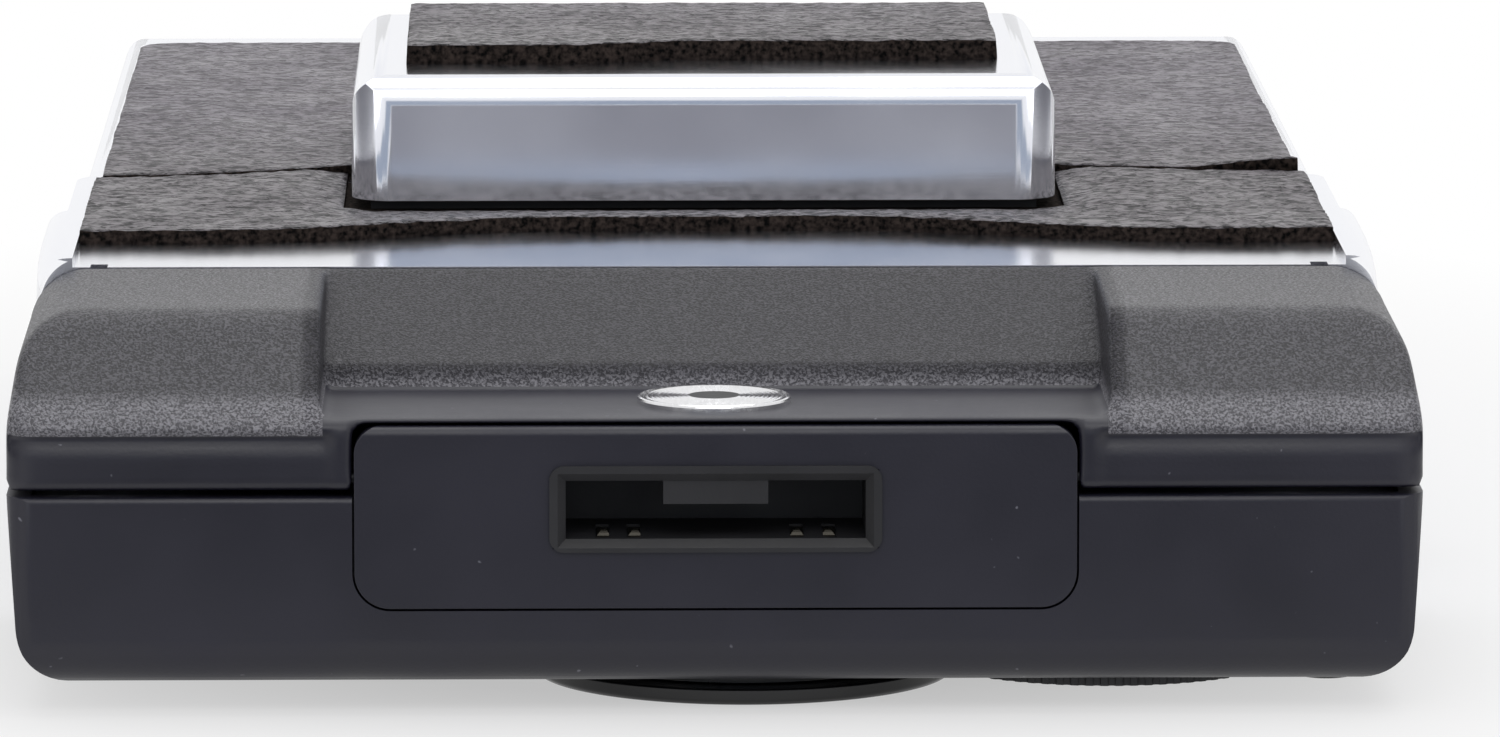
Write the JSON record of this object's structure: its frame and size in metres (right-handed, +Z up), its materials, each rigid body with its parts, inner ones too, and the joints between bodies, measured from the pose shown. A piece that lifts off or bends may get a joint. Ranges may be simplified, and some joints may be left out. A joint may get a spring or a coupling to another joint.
{
  "type": "folding instant camera",
  "caption": "Flat-folding single-lens reflex instant camera with leather-covered metal covers, bellows and a lens housing that swings under a pebbled hood.",
  "frame": {"origin": "under the middle of the folded camera, on the surface it lies on", "axes": "+Y towards the rear, away from the lens housing; +X right seen from the lens-housing end; +Z up"},
  "size_m": [0.104, 0.1782, 0.0415],
  "materials": {
    "smooth_plastic": "smooth, slightly blue black moulding",
    "pebbled_plastic": "pebbled moulding",
    "black_plastic": "matt black",
    "gloss_black": "gloss black",
    "satin_chrome": "satin",
    "polished_metal": "polished",
    "steel": "plain",
    "brass": "plain",
    "cover_leather": "dark grey brown, fine grain",
    "bellows_cloth": "pleated, matt",
    "optical_glass": "polished",
    "mirror_glass": "mirror"
  },
  "bodies": {
    "base": {"base_shell": "satin_chrome", "tripod_bush": "brass", "chamber_deck": "black_plastic", "fresnel_screen": "gloss_black", "rear_lid": "black_plastic", "lid_posts": "steel", "film_door": "black_plastic", "motor": "steel", "counter_window": "optical_glass", "counter_post": "steel", "base_screws": "steel", "rear_pins": "steel", "arm_pins": "steel", "bellows_rear": "bellows_cloth"},
    "rear_cover": {"rear_cover": "satin_chrome", "rear_leather": "cover_leather", "rear_mirror": "mirror_glass"},
    "front_cover": {"front_cover": "satin_chrome", "front_leather": "cover_leather", "cover_screws": "steel", "ridge_pins": "steel", "hood": "pebbled_plastic", "hood_disc": "polished_metal", "nose_pins": "steel", "viewfinder_frame": "black_plastic", "eye_lens": "optical_glass", "finder_mirror": "mirror_glass"},
    "viewfinder": {"viewfinder_cap": "satin_chrome", "viewfinder_leather": "cover_leather", "finder_pins": "steel"},
    "housing": {"lens_housing": "smooth_plastic", "flash_panel": "smooth_plastic", "flash_socket": "black_plastic", "flash_contacts": "polished_metal", "housing_back": "black_plastic", "rear_element": "optical_glass", "housing_arms": "steel", "shutter_plate": "black_plastic", "blade_guides": "steel", "wheel_spindles": "steel", "eye_window": "optical_glass", "button_spring": "steel", "bellows_front": "bellows_cloth"},
    "lens": {"lens_ring": "gloss_black", "front_element": "optical_glass"},
    "focus_wheel": {"focus_wheel": "black_plastic"},
    "exposure_wheel": {"exposure_wheel": "black_plastic"},
    "shutter_button": {"shutter_button": "gloss_black"},
    "left_blade": {"shutter_blade_left": "steel"},
    "right_blade": {"shutter_blade_right": "steel"},
    "lower_roller": {"roller_lower": "steel"},
    "upper_roller": {"roller_upper": "steel"},
    "counter_wheel": {"counter_wheel": "black_plastic"},
    "door_latch": {"door_latch": "gloss_black"}
  },
  "joints": [
    {"name": "fold", "type": "hinge", "parent": "base", "child": "rear_cover", "pos_m": [0, 0.07915, 0.012], "axis": [-1, 0, 0], "range_deg": [0, 61.87], "deforming": ["bellows_rear"]},
    {"name": "ridge", "type": "hinge", "parent": "rear_cover", "child": "front_cover", "pos_m": [0, -0.00885, 0.02], "axis": [1, 0, 0], "range_deg": [0, 79.92]},
    {"name": "nose", "type": "hinge", "parent": "front_cover", "child": "housing", "pos_m": [0, -0.08795, 0.0176], "axis": [-1, 0, 0], "range_deg": [0, 108.05], "deforming": ["bellows_front"]},
    {"name": "viewfinder_lift", "type": "hinge", "parent": "front_cover", "child": "viewfinder", "pos_m": [0, -0.02365, 0.0319], "axis": [1, 0, 0], "range_deg": [0, 9.01]},
    {"name": "focus", "type": "hinge", "parent": "housing", "child": "focus_wheel", "pos_m": [0.0293, -0.07125, 0.003], "axis": [0, 0, 1], "range_deg": [-120, 120]},
    {"name": "lens_turn", "type": "hinge", "parent": "housing", "child": "lens", "pos_m": [0.0024, -0.06885, 0.001], "axis": [0, 0, 1], "range_deg": [-121, 121]},
    {"name": "exposure", "type": "hinge", "parent": "housing", "child": "exposure_wheel", "pos_m": [-0.031, -0.07185, 0.003], "axis": [0, 0, 1], "range_deg": [-60, 60]},
    {"name": "shutter_press", "type": "slide", "parent": "housing", "child": "shutter_button", "axis": [0, 0, 1], "range_m": [0, 0.0015], "stiffness_N_per_m": 150, "deforming": ["button_spring"]},
    {"name": "left_leaf", "type": "slide", "parent": "housing", "child": "left_blade", "axis": [1, 0, 0], "range_m": [0, 0.006], "stiffness_N_per_m": 20},
    {"name": "right_leaf", "type": "slide", "parent": "housing", "child": "right_blade", "axis": [-1, 0, 0], "range_m": [0, 0.0061]},
    {"name": "lower_roll", "type": "hinge", "parent": "base", "child": "lower_roller", "pos_m": [0, -0.03635, 0.00485], "axis": [1, 0, 0], "continuous": true},
    {"name": "upper_roll", "type": "hinge", "parent": "base", "child": "upper_roller", "pos_m": [0, -0.03635, 0.01135], "axis": [1, 0, 0], "continuous": true},
    {"name": "counter", "type": "hinge", "parent": "base", "child": "counter_wheel", "pos_m": [0.027, 0.08465, 0.0088], "axis": [0, 1, 0], "continuous": true},
    {"name": "latch", "type": "slide", "parent": "base", "child": "door_latch", "axis": [0, 1, 0], "range_m": [0, 0.003]}
  ],
  "couplings": [
    {"joint": "ridge", "follows": "fold", "ratio": 1.2916},
    {"joint": "nose", "follows": "fold", "ratio": 1.7462},
    {"joint": "viewfinder_lift", "follows": "fold", "ratio": 0.14546},
    {"joint": "lens_turn", "follows": "focus", "ratio": -1.0075},
    {"joint": "right_leaf", "follows": "left_leaf", "ratio": 1},
    {"joint": "upper_roll", "follows": "lower_roll", "ratio": -1}
  ]
}
